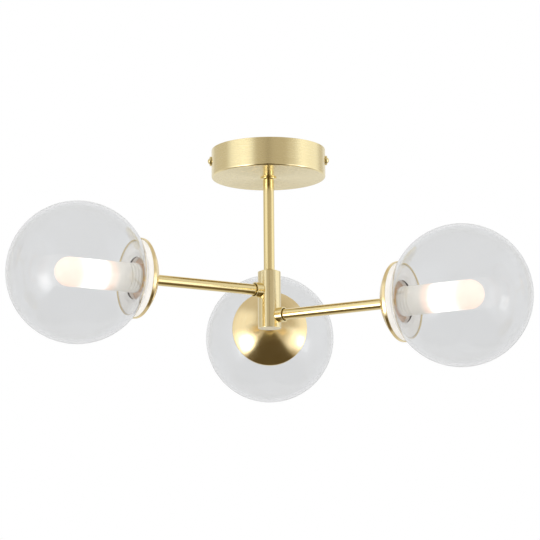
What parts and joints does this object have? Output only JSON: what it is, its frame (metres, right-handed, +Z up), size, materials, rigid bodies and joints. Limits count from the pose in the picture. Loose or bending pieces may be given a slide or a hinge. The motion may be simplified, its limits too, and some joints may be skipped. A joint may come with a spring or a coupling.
{
  "type": "semi flush ceiling light",
  "caption": "Semi flush ceiling light: round cup, short stem and hub with stepped arms, each ending in a spun dish, frosted lamp sleeve and clear glass globe.",
  "frame": {"origin": "where the stem's axis meets the ceiling plane, at the centre of the ceiling slots", "axes": "+Z up towards the ceiling, +Y along the arm that points away from the picture's camera, +X to its right; the side screws lie on X"},
  "size_m": [0.4404, 0.3975, 0.208],
  "materials": {
    "satin_brass": "brushed satin brass",
    "polished_brass": "fine satin brass",
    "spun_brass": "spun satin brass with circular grain",
    "carrier_brass": "turned brass, unpolished",
    "nut_brass": "turned brass",
    "zinc_steel": "zinc plated steel",
    "terminal_plastic": "moulded",
    "lead_sheath": "sheathed lead",
    "lampholder_ceramic": "unglazed steatite",
    "gasket_rubber": "silicone",
    "seat_white": "satin white",
    "frosted_glass": "etched opal white",
    "lamp_glass": "lit capsule lamp",
    "clear_glass": "clear"
  },
  "bodies": {
    "fitting": {"ceiling_bracket": "zinc_steel", "earth_screw": "nut_brass", "earth_washer": "nut_brass", "terminal_block": "terminal_plastic", "block_screw": "zinc_steel", "canopy_cup": "satin_brass", "stem_tube": "polished_brass", "stem_washer": "zinc_steel", "stem_nut": "nut_brass", "stem_ring": "polished_brass", "hub_ring": "polished_brass", "hub_body": "satin_brass", "hub_plug": "satin_brass", "arm_collar_left": "polished_brass", "arm_tube_left": "polished_brass", "cap_dish_left": "spun_brass", "lamp_carrier_left": "carrier_brass", "arm_end_nut_left": "nut_brass", "lampholder_left": "lampholder_ceramic", "sleeve_gasket_left": "gasket_rubber", "lead_left": "lead_sheath", "arm_collar_back": "polished_brass", "arm_tube_back": "polished_brass", "cap_dish_back": "spun_brass", "lamp_carrier_back": "carrier_brass", "arm_end_nut_back": "nut_brass", "lampholder_back": "lampholder_ceramic", "sleeve_gasket_back": "gasket_rubber", "lead_back": "lead_sheath", "arm_collar_right": "polished_brass", "arm_tube_right": "polished_brass", "cap_dish_right": "spun_brass", "lamp_carrier_right": "carrier_brass", "arm_end_nut_right": "nut_brass", "lampholder_right": "lampholder_ceramic", "sleeve_gasket_right": "gasket_rubber", "lead_right": "lead_sheath"},
    "globe_left": {"globe_glass_left": "clear_glass", "globe_seat_left": "seat_white"},
    "sleeve_left": {"frosted_sleeve_left": "frosted_glass"},
    "capsule_left": {"lamp_left": "lamp_glass"},
    "globe_back": {"globe_glass_back": "clear_glass", "globe_seat_back": "seat_white"},
    "sleeve_back": {"frosted_sleeve_back": "frosted_glass"},
    "capsule_back": {"lamp_back": "lamp_glass"},
    "globe_right": {"globe_glass_right": "clear_glass", "globe_seat_right": "seat_white"},
    "sleeve_right": {"frosted_sleeve_right": "frosted_glass"},
    "capsule_right": {"lamp_right": "lamp_glass"},
    "screw_left": {"side_screw_left": "polished_brass"},
    "screw_right": {"side_screw_right": "polished_brass"}
  },
  "joints": [
    {"name": "globe_left_off", "type": "slide", "parent": "fitting", "child": "globe_left", "axis": [-0.866, -0.5, 0], "range_m": [0, 0.09]},
    {"name": "sleeve_left_turn", "type": "hinge", "parent": "fitting", "child": "sleeve_left", "pos_m": [-0.11258, -0.065, -0.126], "axis": [-0.866, -0.5, 0], "range_deg": [0, 900]},
    {"name": "lamp_left_pull", "type": "slide", "parent": "fitting", "child": "capsule_left", "axis": [-0.866, -0.5, 0], "range_m": [0, 0.012]},
    {"name": "globe_back_off", "type": "slide", "parent": "fitting", "child": "globe_back", "axis": [0, 1, 0], "range_m": [0, 0.09]},
    {"name": "sleeve_back_turn", "type": "hinge", "parent": "fitting", "child": "sleeve_back", "pos_m": [0, 0.13, -0.137], "axis": [0, 1, 0], "range_deg": [0, 900]},
    {"name": "lamp_back_pull", "type": "slide", "parent": "fitting", "child": "capsule_back", "axis": [0, 1, 0], "range_m": [0, 0.012]},
    {"name": "globe_right_off", "type": "slide", "parent": "fitting", "child": "globe_right", "axis": [0.866, -0.5, 0], "range_m": [0, 0.09]},
    {"name": "sleeve_right_turn", "type": "hinge", "parent": "fitting", "child": "sleeve_right", "pos_m": [0.11258, -0.065, -0.148], "axis": [0.866, -0.5, 0], "range_deg": [0, 900]},
    {"name": "lamp_right_pull", "type": "slide", "parent": "fitting", "child": "capsule_right", "axis": [0.866, -0.5, 0], "range_m": [0, 0.012]},
    {"name": "side_screw_left_out", "type": "slide", "parent": "fitting", "child": "screw_left", "axis": [-1, 0, 0], "range_m": [0, 0.01]},
    {"name": "side_screw_right_out", "type": "slide", "parent": "fitting", "child": "screw_right", "axis": [1, 0, 0], "range_m": [0, 0.01]}
  ]
}
